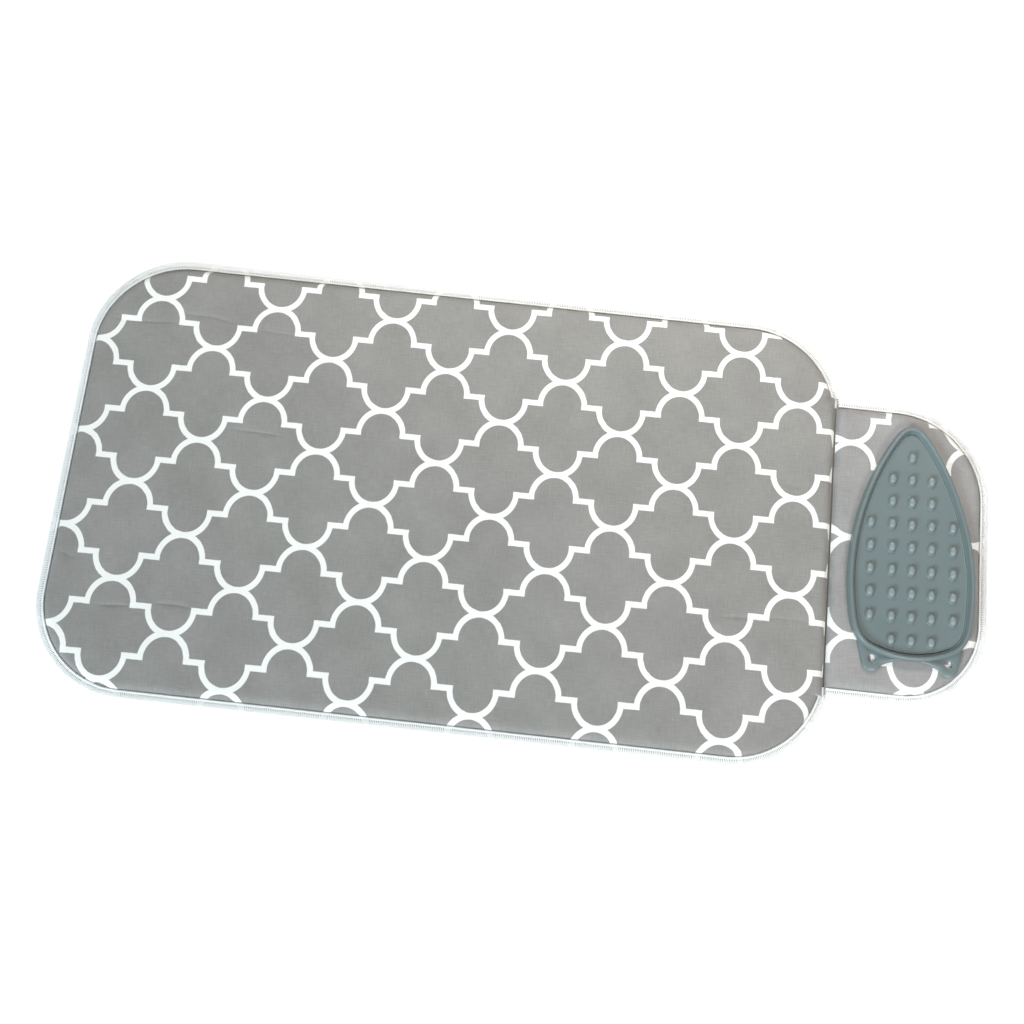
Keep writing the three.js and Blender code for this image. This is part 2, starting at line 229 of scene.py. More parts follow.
# Ears at the rest's heel
EAR_SPACING = 81 * MM
EAR_REACH = 13.6 * MM
EAR_HALF = 10 * MM
EAR_OUTER_ROOT = (17 * MM, 24 * MM)
EAR_INNER_ROOT = (36 * MM, 1 * MM)
EAR_HOLE = 8.4 * MM
EAR_ROUND = 0.9 * MM
EAR_LIFT = 0.1 * MM
EAR_CURVE_STEPS = 10

# Handles of the ears' curves, as shares of half an ear's width
EAR_SWEEP = 1.8
EAR_DIP = 0.2
EAR_INNER_HOLD = 0.6
EAR_OUTER_HOLD = 0.75

# Colours, as screen values from 0 to 255
MAIN_GREY = (147, 145, 142)
# Lighter grey than the main panel's cover: painted light on the flap
FLAP_GREY_PAINTED_LIGHT = (155, 153, 152)
PRINT_WHITE = (247, 246, 243)
BACK_COTTON = (206, 205, 201)
# Tape made darker than the back cloth: painted shade for the seam's gap
TAPE_SEAM_SHADE = (146, 144, 140)
WADDING_CREAM = (232, 228, 218)
FELT_GREY = (186, 183, 177)
SILVER = (205, 208, 210)
THREAD_WHITE = (249, 249, 248)
SILICONE_GREY = (111, 123, 124)
# Paler silicone for the painted highlight on the stud tops and the rim's bead
SILICONE_HIGHLIGHT = (132, 144, 144)

# Grain of the materials: pitch of each weave, how often the others vary in one metre, and one roughness
COVER_WEAVE = 0.6 * MM
BACK_WEAVE = 0.8 * MM
THREAD_LENGTHS = 70
THREAD_WIDTHS = 900
CLOTH_PATCHES = 22.0
WOBBLES = 160.0
WADDING_FIBRES = 420.0
FELT_FIBRES = 700.0
SILVER_CRINKLES = 240.0
THREAD_FIBRES = 2600.0
SILICONE_GRAIN = 1400.0
SILICONE_DUST = 30.0
SILICONE_ROUGHNESS = 0.36

# Floor: its reach, its drop below the pad, and how brightly it looks, reflects and glows
FLOOR_REACH = 6.0
FLOOR_DROP = 0.2 * MM
FLOOR_SEEN = (0.45, 0.45, 0.45, 1)
FLOOR_BOUNCE = (0.85, 0.85, 0.85, 1)
FLOOR_GLOW = 0.66

# Light from all around, and lamps: place, aim, width and depth, power in watts and tint
SKY_TINT = (0.97, 0.985, 1.0, 1)
SKY_STRENGTH = 0.2
LAMPS = {
    "key": ((-2.0, -2.6, 2.0), (0, 0, 0), (1.1, 1.1), 141, (0.81, 0.945, 1.0)),
    "far": ((0.28, 0.65, 0.6), (0.28, 0.65, 0), (1.2, 0.25), 8.8, (1.0, 0.965, 0.91)),
    "near": ((0.72, -0.8, 0.8), (0.42, 0, 0), (0.3, 0.3), 6.6, (1.0, 0.98, 0.95)),
    "under": ((0, 0, -1.5), (0, 0, 0), (1.6, 1.0), 9, (1.0, 1.0, 1.0)),
}

# Camera, as the photograph was taken
CAMERA_PLACE = (1.21 * MM, -263.5 * MM, 1175.4 * MM)
CAMERA_AIM = (-11.92 * MM, -4.81 * MM, 10.2 * MM)
CAMERA_ROLL = math.radians(3.316)
CAMERA_LENS = 38.67
CAMERA_SENSOR = 36.0

# Places that the frame gives
seam_x = next(joint for joint in frame["joints"] if joint["name"] == "flap_hinge")["pos_m"][0]
band_low, band_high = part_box("main_edge_overlock")
flap_low, flap_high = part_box("flap_edge_overlock")
cover_low, cover_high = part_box("main_top_cover")
wadding_low, wadding_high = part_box("main_wadding")
rest_low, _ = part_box("iron_rest")
strip_low, strip_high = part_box("hinge_strip")
main_middle = (wadding_low.x + wadding_high.x) / 2
main_right = 2 * main_middle - band_low.x
raw_edge = cover_low.x - band_low.x
shoulder_foot = BAND_WIDTH + CLOTH_GAP
notch_half = flap_high.y + CLOTH_GAP
edge_top = cover_low.z + COVER
pad_top = cover_high.z
wadding_top = pad_top - COVER - 2 * SQUEEZE - WAVE


def smooth(value, start, end):
    """A soft step from 0 at start to 1 at end."""
    share = np.clip((np.asarray(value, float) - start) / (end - start), 0, 1)
    return share * share * (3 - 2 * share)


def lift(ring, z):
    """Points of a plan at a height."""
    return np.column_stack([ring, np.full(len(ring), z)])


def distances(line):
    """How far along a line each of its points lies."""
    return np.concatenate([[0], np.cumsum(np.linalg.norm(np.diff(line, axis=0), axis=1))])


def even_line(line, count):
    """The same line with its points evenly spaced."""
    along = distances(line)
    places = np.linspace(0, along[-1], count + 1)
    return np.column_stack([np.interp(places, along, line[:, axis]) for axis in (0, 1)])


def leftward(run):
    """Directions to the left of others."""
    run = run / np.linalg.norm(run, axis=1, keepdims=True)
    return np.column_stack([-run[:, 1], run[:, 0]])


def unevenness(x, y, size, seed):
    """Smooth noise between -1 and 1, with swells of a size."""
    return noise.noise(Vector((x / size, y / size, seed)))


def plate_ring(left, right, half, left_corner, far_corner, near_corner, counts):
    """Points round a plate, anticlockwise from the far end of its right-hand side."""
    corner_count, long_count, short_count = counts
    centres = [
        (right - far_corner, half - far_corner, far_corner),
        (left + left_corner, half - left_corner, left_corner),
        (left + left_corner, left_corner - half, left_corner),
        (right - near_corner, near_corner - half, near_corner),
    ]
    arcs = []
    for quarter, (x, y, radius) in enumerate(centres):
        angles = (quarter + np.linspace(0, 1, corner_count + 1)) * math.pi / 2
        arcs.append(np.column_stack([x + radius * np.cos(angles), y + radius * np.sin(angles)]))
    points = []
    for quarter, arc in enumerate(arcs):
        count = short_count if quarter % 2 else long_count
        shares = np.arange(1, count)[:, None] / count
        points.append(arc)
        points.append(arc[-1] + shares * (arcs[(quarter + 1) % 4][0] - arc[-1]))
    return np.concatenate(points)


@dataclass
class Panel:
    """Plan of a padded panel, which can be drawn in by any distance."""

    left: float
    right: float
    half: float
    left_corner: float
    far_corner: float
    near_corner: float

    def counts(self, step):
        """How many steps a corner, a long side and a short side have."""
        length = self.right - self.left - self.left_corner - self.far_corner
        width = 2 * self.half - self.far_corner - self.near_corner
        corner = self.far_corner * math.pi / 2
        return [max(2, round(side / step)) for side in (corner, length, width)]

    def left_inset(self, inset):
        """How far the left-hand side is drawn in."""
        return inset

    def ring(self, inset, step=RING_STEP):
        """The outline drawn in by a distance."""
        return plate_ring(
            self.left + self.left_inset(inset),
            self.right - inset,
            self.half - inset,
            max(self.left_corner - inset, LEAST_CORNER),
            max(self.far_corner - inset, LEAST_CORNER),
            max(self.near_corner - inset, LEAST_CORNER),
            self.counts(step),
        )

    def depth(self, points, inset=0.0):
        """How far inside the outline, drawn in by a distance, each point lies."""
        left = self.left + self.left_inset(inset)
        right = self.right - inset
        x = points[:, 0] - (left + right) / 2
        right_corner = np.where(points[:, 1] > 0, self.far_corner, self.near_corner)
        corner = np.where(x > 0, right_corner, self.left_corner) - inset
        corner = np.maximum(corner, LEAST_CORNER)
        out_x = np.abs(x) - (right - left) / 2 + corner
        out_y = np.abs(points[:, 1]) - (self.half - inset) + corner
        outside = np.hypot(np.maximum(out_x, 0), np.maximum(out_y, 0))
        return corner - outside - np.minimum(np.maximum(out_x, out_y), 0)


def from_seam(inset):
    """Distance from the seam, where only a narrow lip is left of a cover's flat edge."""
    share = max(0.0, (inset - raw_edge) / (shoulder_foot - raw_edge))
    if share < 1:
        return SEAM_GAP + (SEAM_FOOT - SEAM_GAP) * share
    return SEAM_FOOT + inset - shoulder_foot


def open_run(ring, free):
    """The free stretch of a closed ring, as an open line."""
    start = int(np.argmax(free & ~np.roll(free, 1)))
    return np.roll(ring, -start, axis=0)[: int(free.sum())]


class MainPanel(Panel):
    """The main panel, whose flat edge is narrow along the flap."""

    def at_seam(self, ring):
        """Which points lie where the flap is joined."""
        return (ring[:, 0] > main_middle) & (np.abs(ring[:, 1]) < notch_half)

    def ring(self, inset, step=RING_STEP):
        """The outline drawn in by a distance, and less along the flap."""
        ring = super().ring(inset, step)
        seam = self.at_seam(super().ring(0.0, step))
        ring[seam, 0] = seam_x - from_seam(inset)
        for k in np.flatnonzero(seam != np.roll(seam, 1)):
            ring[[k - 1, k], 1] = math.copysign(notch_half, ring[k, 1])
        return ring

    def band_path(self, step):
        """The outer edge from one side of the flap to the other."""
        ring = Panel.ring(self, 0.0, step)
        return open_run(ring, ~self.at_seam(ring))


class FlapPanel(Panel):
    """The flap, whose flat edge is narrow along the main panel."""

    def left_inset(self, inset):
        return seam_x + from_seam(inset) - self.left

    def band_path(self, step):
        """The outer edge from the seam round to the seam."""
        ring = Panel.ring(self, 0.0, step)
        return open_run(ring, ring[:, 0] > self.left + self.left_corner)


main_panel = MainPanel(band_low.x, main_right, band_high.y, MAIN_CORNER, MAIN_CORNER, MAIN_CORNER)
flap_panel = FlapPanel(
    flap_low.x, flap_high.x, flap_high.y, FLAP_ROOT_CORNER, FLAP_FAR_CORNER, FLAP_NEAR_CORNER,
)


def net(ring, inner, loop_size=0):
    """Triangles that fill a ring, over all the inner points; these can be loops of a given size."""
    count = len(ring)
    points = [Vector(point) for point in np.concatenate([ring, inner])]
    edges = [(k, (k + 1) % count) for k in range(count)]
    for start in range(count, len(points), loop_size or len(points)):
        edges += [(start + k, start + (k + 1) % loop_size) for k in range(loop_size)]
    _, _, faces, origins, _, _ = delaunay_2d_cdt(points, edges, [], 1, NET_TOLERANCE)
    return [[origins[corner][0] for corner in face] for face in faces]


def grid_inside(panel, inset, step):
    """Evenly spaced points inside a panel's outline drawn in by a distance."""
    x = np.arange(panel.left, panel.right, step)
    y = np.arange(-panel.half, panel.half, step) + step / 2
    grid = np.stack(np.meshgrid(x, y), axis=-1).reshape(-1, 2)
    return grid[panel.depth(grid, inset) > step / 2]


def bridge(size, start, next_start):
    """Faces between two rings of points."""
    faces = []
    for k in range(size):
        after = (k + 1) % size
        faces.append([start + k, start + after, next_start + after, next_start + k])
    return faces


def skin(rings, inner, loop_size=0):
    """Points and faces of a sheet: rings from its edge inwards, and a net over what is inside the last."""
    size = len(rings[0])
    last = size * (len(rings) - 1)
    faces = []
    for k in range(len(rings) - 1):
        faces += bridge(size, size * k, size * (k + 1))
    inside = net(rings[-1][:, :2], inner[:, :2], loop_size)
    faces += [[last + corner for corner in face] for face in inside]
    return np.concatenate([*rings, inner]), faces


def new_mesh(name, points, faces):
    """A mesh of points and faces."""
    mesh = bpy.data.meshes.new(name)
    mesh.from_pydata([tuple(point) for point in points], [], faces)
    return mesh


def in_scene(name, data):
    """A new object in the scene, made of a mesh, a lamp or a camera."""
    thing = bpy.data.objects.new(name, data)
    bpy.context.scene.collection.objects.link(thing)
    return thing


def make_object(name, points, faces, material):
    """A smooth piece, with pairs of flat triangles joined."""
    mesh = new_mesh(name, points, faces)
    mesh.validate()
    edit = bmesh.new()
    edit.from_mesh(mesh)
    triangles = [face for face in edit.faces if len(face.verts) == 3]
    bmesh.ops.join_triangles(
        edit, faces=triangles, angle_face_threshold=JOIN_BEND, angle_shape_threshold=JOIN_SKEW,
    )
    edit.to_mesh(mesh)
    edit.free()
    mesh.materials.append(material)
    mesh.polygons.foreach_set("use_smooth", [True] * len(mesh.polygons))
    return in_scene(name, mesh)


def thicken(piece, thickness):
    """Give a sheet its thickness, below the surface that was made."""
    solidify = piece.modifiers.new("Thickness", "SOLIDIFY")
    solidify.thickness = thickness
    solidify.offset = -1
    solidify.use_even_offset = False
    return piece


def settle(piece, body, slot_name, *nodes):
    """Say what a piece rides on and which solids it stands for; the finish, slot_name, is not used."""
    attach(piece, body)
    if nodes:
        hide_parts(*nodes)


# Padded covers


def set_cotton(cloth):
    """Make a simulated cloth the covers' cotton, held where it is stitched and blown up from inside."""
    settings = cloth.settings
    settings.quality = CLOTH_QUALITY
    settings.mass = CLOTH_MASS
    settings.tension_stiffness = CLOTH_STRETCH
    settings.compression_stiffness = CLOTH_STRETCH
    settings.shear_stiffness = CLOTH_SHEAR
    settings.bending_stiffness = CLOTH_BENDING
    settings.vertex_group_mass = "stitched"
    settings.use_pressure = True
    settings.uniform_pressure_force = SWELL_PRESSURE
    settings.effector_weights.gravity = 0
    cloth.collision_settings.use_collision = False
    cloth.point_cache.frame_start = 1
    cloth.point_cache.frame_end = SWELL_FRAMES


def swell(points, faces, pinned, rim_size):
    """Let the filling blow a cover up against its stitched edge, by SWELL at most."""
    closing = list(range(rim_size))[::-1]
    cloth_object = in_scene("swelling", new_mesh("swelling", points, faces + [closing]))
    group = cloth_object.vertex_groups.new(name="stitched")
    group.add(list(range(pinned)), 1.0, "REPLACE")
    set_cotton(cloth_object.modifiers.new("Cloth", "CLOTH"))
    scene = bpy.context.scene
    for step in range(1, SWELL_FRAMES + 1):
        scene.frame_set(step)
    shaped = cloth_object.evaluated_get(bpy.context.evaluated_depsgraph_get()).data
    moved = np.zeros(len(points) * 3)
    shaped.vertices.foreach_get("co", moved)
    bpy.data.objects.remove(cloth_object)
    scene.frame_set(1)
    moved = moved.reshape(-1, 3) - points
    length = np.linalg.norm(moved, axis=1, keepdims=True)
    return points + moved * np.minimum(1, SWELL / np.maximum(length, TINY))


def crease_line(crease):
    """Points close together along a crease, and the direction square to it."""
    corners = np.array(crease, float) * MM
    count = max(CREASE_LEAST_STEPS, int(distances(corners)[-1] / CREASE_STEP))
    line = even_line(corners, count)
    return line, leftward(np.gradient(line, axis=0))


def crease_points(creases):
    """Rows of points on and beside each crease, so that the net follows it."""
    rows = []
    for crease in creases:
        line, square = crease_line(crease)
        rows += [line + square * offset for offset in CREASE_ROWS]
    return np.concatenate(rows)


def crease_drop(points, creases):
    """How far each point lies below the cloth around it, because of the creases."""
    drop = np.zeros(len(points))
    for crease in creases:
        line, _ = crease_line(crease)
        gaps = np.linalg.norm(points[:, None, :2] - line[None], axis=2)
        nearest = gaps.argmin(axis=1)
        share = nearest / (len(line) - 1)
        fade = smooth(share, 0, CREASE_FADE) * (1 - smooth(share, 1 - CREASE_FADE, 1))
        drop = np.maximum(drop, CREASE_DEPTH * fade * np.exp(-gaps.min(axis=1) / CREASE_WIDTH))
    return drop


def waves(points, seed):
    """Gentle unevenness of cloth that lies on soft filling."""
    heights = []
    for x, y in points[:, :2]:
        slow = unevenness(x, y, WAVE_SIZE, seed)
        quick = unevenness(x, y, RIPPLE_SIZE, seed + RIPPLE_SEED)
        heights.append(WAVE * slow + RIPPLE * quick)
    return np.array(heights)


def pucker(points, rim_size, ring_count, seed):
    """Small gathers where the stitched edge draws the cover down, fading out over the shoulder."""
    for ring in range(FLANGE_STEPS + 1, ring_count):
        rows = slice(ring * rim_size, (ring + 1) * rim_size)
        fade = 1 - smooth(ring, FLANGE_STEPS + 2, ring_count)
        for point in points[rows]:
            point[2] += PUCKER * fade * unevenness(point[0], point[1], PUCKER_PITCH, seed)


def hold_at_seam(points, rest_points):
    """Keep the covers' shoulders from closing the valley along the seam."""
    near = np.abs(rest_points[:, 0] - seam_x) < shoulder_foot + SHOULDER_RUN
    shift = points[near, 0] - rest_points[near, 0]
    points[near, 0] = rest_points[near, 0] + np.clip(shift, -SEAM_SWELL, SEAM_SWELL)


def cover_rings(panel, top):
    """Rings of a cover's flat stitched edge and of its rolled shoulder up to a height."""
    rings = []
    for inset in np.linspace(raw_edge, shoulder_foot, FLANGE_STEPS + 1):
        rings.append(lift(panel.ring(inset), edge_top))
    for step in range(1, SHOULDER_STEPS + 1):
        angle = step / SHOULDER_STEPS * math.pi / 2
        inset = shoulder_foot + SHOULDER_RUN * (1 - math.cos(angle))
        rings.append(lift(panel.ring(inset), edge_top + (top - edge_top) * math.sin(angle)))
    return rings


def field_points(panel, creases, inset):
    """Points of a cover's field: a grid that makes way for the rows beside the creases."""
    followed = crease_points(creases)
    followed = followed[panel.depth(followed, inset) > RING_STEP / 2]
    grid = grid_inside(panel, inset, FIELD_STEP)
    gaps = np.array([np.abs(followed - point).max(axis=1).min() for point in grid])
    return np.concatenate([grid[gaps > FIELD_STEP / 2], followed])


def cover_piece(name, panel, creases, material, seed):
    """Printed cover, stitched at its edge and lifted by the filling, and its points."""
    start_top = pad_top - SLACK
    inner_inset = shoulder_foot + SHOULDER_RUN
    rings = cover_rings(panel, start_top)
    rim_size = len(rings[0])
    points, faces = skin(rings, lift(field_points(panel, creases, inner_inset), start_top))
    shaped = swell(points, faces, rim_size * (FLANGE_STEPS + 1), rim_size)
    hold_at_seam(shaped, points)
    filled = edge_top + (points[:, 2] - edge_top) * (pad_top - SQUEEZE - edge_top) / (start_top - edge_top)
    shaped[:, 2] = np.maximum(shaped[:, 2], filled)
    depth = panel.depth(shaped)
    free = smooth(depth, shoulder_foot, shoulder_foot + 2 * SHOULDER_RUN)
    shaped[:, 2] += free * (waves(shaped, seed) - crease_drop(shaped, creases))
    field = depth > inner_inset
    shaped[field, 2] = np.maximum(shaped[field, 2], wadding_top + CLOTH_GAP)
    pucker(shaped, rim_size, len(rings), seed)
    return thicken(make_object(name, shaped, faces, material), COVER), shaped


def main_cover(material):
    """The main panel's printed cover."""
    piece, _ = cover_piece("main_cover_cloth", main_panel, MAIN_CREASES, material, MAIN_SEED)
    settle(piece, "main", "printed_cotton", "main_top_cover")


def flap_cover(material):
    """The flap's printed cover, kept below the rest that lies on it."""
    piece, points = cover_piece("flap_cover_cloth", flap_panel, FLAP_CREASES, material, FLAP_SEED)
    points[:, 2] = np.minimum(points[:, 2], rest_low.z - REST_CLEARANCE)
    piece.data.vertices.foreach_set("co", points.ravel())
    settle(piece, "flap", "printed_cotton", "flap_top_cover")


# Layers inside the panels


def cover_inside(z):
    """Distance in from the edge to the cover's inner face at a height."""
    rise = pad_top - COVER - cover_low.z
    share = min(max((z - cover_low.z) / rise, 0), 1)
    return shoulder_foot + COVER + (SHOULDER_RUN - COVER) * (1 - math.sqrt(1 - share * share))


def layer_piece(name, panel, node, material, seed):
    """A filling layer that follows the cover's shoulder, with a slightly uneven surface."""
    low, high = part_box(node)
    high.z = min(high.z, wadding_top)
    start = min(max(low.z, cover_low.z), high.z)
    heights = np.linspace(start, high.z, LAYER_SIDE_STEPS + 1)
    rings = [lift(panel.ring(cover_inside(z + CLOTH_GAP) + CLOTH_GAP), z) for z in heights]
    ring_low = panel.ring(cover_inside(start + CLOTH_GAP) + 2 * SHOULDER_RUN)
    rings.insert(0, lift(ring_low, low.z))
    top_grid = grid_inside(panel, cover_inside(high.z) + CLOTH_GAP, LAYER_STEP)
    low_grid = grid_inside(panel, cover_inside(start) + 2 * SHOULDER_RUN + CLOTH_GAP, LAYER_STEP)
    points, faces = skin(rings, lift(top_grid, high.z))
    under = [face[::-1] for face in net(ring_low, low_grid)]
    size = len(ring_low)
    offset = len(points) - size
    faces += [[corner if corner < size else corner + offset for corner in face] for face in under]
    points = np.concatenate([points, lift(low_grid, low.z)])
    points[:, 2] += [LAYER_UNEVEN * unevenness(x, y, LAYER_STEP, seed) for x, y, _ in points]
    return make_object(name, points, faces, material)


def filling(panel_name, panel, materials):
    """Wadding, heat barrier and felt of one panel."""
    for seed, layer in enumerate(("wadding", "heat_barrier", "felt")):
        node = panel_name + "_" + layer
        piece = layer_piece(node + "_layer", panel, node, materials[layer], seed)
        settle(piece, panel_name, layer, node)


def backing_piece(panel_name, panel, material):
    """Back cloth: flat on the surface, lifted at its edge into the stitching."""
    node = panel_name + "_back_cover"
    low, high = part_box(node)
    lifted = high.z - BACKING
    ramp = strip_high.x - seam_x + shoulder_foot - SEAM_FOOT
    sections = [(raw_edge, lifted), (shoulder_foot, lifted), (ramp, lifted), (ramp + BACKING_RAMP, low.z)]
    rings = [lift(panel.ring(inset), z + BACKING) for inset, z in sections]
    inner = grid_inside(panel, sections[-1][0], LAYER_STEP)
    points, faces = skin(rings, lift(inner, low.z + BACKING))
    piece = thicken(make_object(node + "_cloth", points, faces, material), BACKING)
    settle(piece, panel_name, "back_cloth", node)


# Overlocked edges


def repeat_stitch(edge, stitch, pitch):
    """One long thread that repeats a stitch all along an edge."""
    shares, insets, heights = np.array(stitch, float).T
    marks = distances(edge)
    inward = leftward(np.gradient(edge, axis=0))
    count = int(marks[-1] / pitch)
    along = ((np.arange(count)[:, None] + shares) * (marks[-1] / count)).ravel()
    inset = np.tile(insets * MM, count)
    columns = []
    for axis in (0, 1):
        base = np.interp(along, marks, edge[:, axis])
        columns.append(base + inset * np.interp(along, marks, inward[:, axis]))
    return np.column_stack([*columns, np.tile(heights * MM, count)])


def tube(points, radius):
    """Points and faces of a thread along a line, which doesn't start straight up."""
    run = np.gradient(points, axis=0)
    run /= np.maximum(np.linalg.norm(run, axis=1, keepdims=True), TINY)
    across = np.cross(run[0], (0, 0, 1))
    angles = np.arange(THREAD_SIDES) / THREAD_SIDES * 2 * math.pi
    rings = []
    for point, direction in zip(points, run):
        across = across - direction * across.dot(direction)
        across = across / max(np.linalg.norm(across), TINY)
        up = np.cross(direction, across)
        rings.append(point + radius * (np.outer(np.cos(angles), across) + np.outer(np.sin(angles), up)))
    faces = [list(range(THREAD_SIDES))[::-1]]
    for k in range(len(rings) - 1):
        faces += bridge(THREAD_SIDES, THREAD_SIDES * k, THREAD_SIDES * (k + 1))
    last = THREAD_SIDES * (len(rings) - 1)
    faces.append([last + k for k in range(THREAD_SIDES)])
    return np.concatenate(rings), faces


def overlock(panel_name, panel, material):
    """White stitching round a panel: loops over the raw edge, a close line inside and a chain outside."""
    edge = panel.band_path(EDGE_STEP)
    threads = [
        ("_edge_loops", LOOP_STITCH, STITCH_PITCH),
        ("_edge_line", LINE_STITCH, LINE_PITCH),
        ("_edge_chain", CHAIN_STITCH, STITCH_PITCH),
    ]
    for ending, stitch, pitch in threads:
        points, faces = tube(repeat_stitch(edge, stitch, pitch), THREAD)
        piece = make_object(panel_name + ending, points, faces, material)
        nodes = [panel_name + "_edge_overlock"] if stitch is LOOP_STITCH else []
        settle(piece, panel_name, "overlock_thread", *nodes)


# Sewn seam


def hinge_strip(material):
    """Cotton tape under the seam."""
    columns = STRIP_COLUMNS
    rows = int((strip_high.y - strip_low.y) / RING_STEP)
    x = np.linspace(strip_low.x, strip_high.x, columns)
    y = np.linspace(strip_low.y, strip_high.y, rows)
    grid = np.stack(np.meshgrid(x, y), axis=-1).reshape(-1, 2)
    points = np.concatenate([lift(grid, strip_low.z), lift(grid, strip_high.z)])
    count = len(grid)
    index = np.arange(count).reshape(rows, columns)
    faces = []
    for k in index[:-1, :-1].ravel().tolist():
        faces.append([k, k + columns, k + columns + 1, k + 1])
        faces.append([count + corner for corner in (k, k + 1, k + columns + 1, k + columns)])
    rim = np.concatenate([index[0], index[1:, -1], index[-1, -2::-1], index[-2:0:-1, 0]]).tolist()
    for corner, after in zip(rim, rim[1:] + rim[:1]):
        faces.append([corner, after, count + after, count + corner])
    piece = make_object("hinge_strip_tape", points, faces, material)
    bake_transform(piece)
    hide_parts("hinge_strip")


# Iron rest


def curve_points(corners, count):
    """Points on a Bezier curve through its first and last corner, without the last one."""
    shares = np.arange(count)[:, None] / count
    level = [np.array(corner, float) * np.ones_like(shares) for corner in corners]
    while len(level) > 1:
        level = [a + (b - a) * shares for a, b in zip(level, level[1:])]
    return level[0]


def rest_side():
    """Right-hand side of the rest's outline, from the middle of its heel to its tip."""
    heel, tip, half = -REST_LENGTH / 2, REST_LENGTH / 2, REST_WIDTH / 2
    corner_y = heel + REST_HEEL_BOW
    side_x, side_y = half - REST_CORNER_DRAW, corner_y + REST_CORNER
    widest_y, tip_y = heel + REST_WIDEST, tip - REST_TIP_DEPTH
    heel_x = REST_HEEL / 2
    heel_slope = REST_HEEL_BOW / (heel_x * (1 - HEEL_HOLD))
    bend_x = side_x - REST_CORNER_DRAW
    run = tip_y - widest_y
    curves = [
        [(0, heel), (heel_x * HEEL_HOLD, heel), (heel_x, corner_y)],
        [(heel_x, corner_y), (bend_x, corner_y + (bend_x - heel_x) * heel_slope), (side_x, side_y)],
        [(side_x, side_y), (half, (side_y + widest_y) / 2), (half, widest_y)],
        [
            (half, widest_y),
            (half, widest_y + run * SIDE_HOLD),
            (half * POINT_FLARE, tip_y - run * POINT_HOLD),
            (REST_TIP / 2, tip_y),
        ],
        [(REST_TIP / 2, tip_y), (REST_TIP / 2 * TIP_HOLD, tip), (0, tip)],
    ]
    line = np.concatenate([curve_points(corners, REST_CURVE_STEPS) for corners in curves] + [[(0, tip)]])
    return even_line(line, round(distances(line)[-1] / REST_STEP))


def rest_outline():
    """The rest's outline, anticlockwise from the middle of its heel."""
    right = rest_side()
    return np.concatenate([right, (right * (-1, 1))[-2:0:-1]])


def drawn_in(outline, inset):
    """An outline drawn in by a distance, square to its edge."""
    return outline + inset * leftward(np.roll(outline, -1, axis=0) - np.roll(outline, 1, axis=0))


def stud_places():
    """A middle column and two to either side, wherever a row has room for them inside the rim."""
    side = rest_side()
    first = REST_LENGTH / 2 - STUD_FROM_TIP
    pitch = (REST_LENGTH - STUD_FROM_TIP - STUD_FROM_HEEL) / (STUD_ROWS - 1)
    places = []
    for row in range(STUD_ROWS):
        y = first - row * pitch
        reach = np.interp(y, side[:, 1], side[:, 0]) - RIM_WIDTH - STUD_CLEARANCE - STUD_WIDTH / 2
        columns = [x for x in (STUD_INNER_COLUMN, REST_WIDTH / 2 - STUD_FROM_SIDE) if x <= reach]
        places += [(x, y) for x in [0.0, *columns, *[-x for x in columns]]]
    return np.array(places)


def stud_points(place):
    """Rings of points up one stud."""
    angles = np.arange(STUD_SIDES) / STUD_SIDES * 2 * math.pi
    oval = np.column_stack([np.cos(angles) * STUD_WIDTH / 2, np.sin(angles) * STUD_LENGTH / 2])
    rings = []
    for radius, height in STUD_SECTION:
        rings.append(lift(place + oval * radius, REST_FLOOR + STUD_HEIGHT * height))
    return np.concatenate(rings)


def rest_tray():
    """Tray with its rim, groove and studs, as points and faces."""
    outline = rest_outline()
    rings = [lift(drawn_in(outline, inset * MM), z * MM) for inset, z in RIM_SECTION]
    studs = np.concatenate([stud_points(place) for place in stud_places()])
    points, faces = skin(rings, studs, STUD_SIDES)
    under = [face[::-1] for face in net(rings[0][:, :2], np.zeros((0, 2)))]
    return points, faces + under


def ear_outline():
    """Outline of the right-hand ear, whose inner edge sweeps to the heel."""
    heel, x = -REST_LENGTH / 2, EAR_SPACING / 2
    outer = (x + EAR_OUTER_ROOT[0], heel + EAR_OUTER_ROOT[1])
    inner = (x - EAR_INNER_ROOT[0], heel + EAR_INNER_ROOT[1])
    bottom, shoulder = heel - EAR_REACH, heel - EAR_REACH / 2
    curves = [
        [inner, (x - EAR_HALF * EAR_SWEEP, heel - EAR_HALF * EAR_DIP), (x - EAR_HALF, shoulder)],
        [(x - EAR_HALF, shoulder), (x - EAR_HALF * EAR_INNER_HOLD, bottom), (x, bottom)],
        [(x, bottom), (x + EAR_HALF * EAR_OUTER_HOLD, bottom), (x + EAR_HALF, shoulder)],
        [(x + EAR_HALF, shoulder), outer],
    ]
    middle = drawn_in(rest_outline(), RIM_WIDTH / 2)
    behind = middle[(middle[:, 0] > inner[0]) & (middle[:, 0] < outer[0]) & (middle[:, 1] < outer[1])]
    front = [curve_points(corners, EAR_CURVE_STEPS) for corners in curves]
    line = np.concatenate([*front, behind[::-1], [inner]])
    return even_line(line, round(distances(line)[-1] / (REST_STEP / 2)))[:-1]


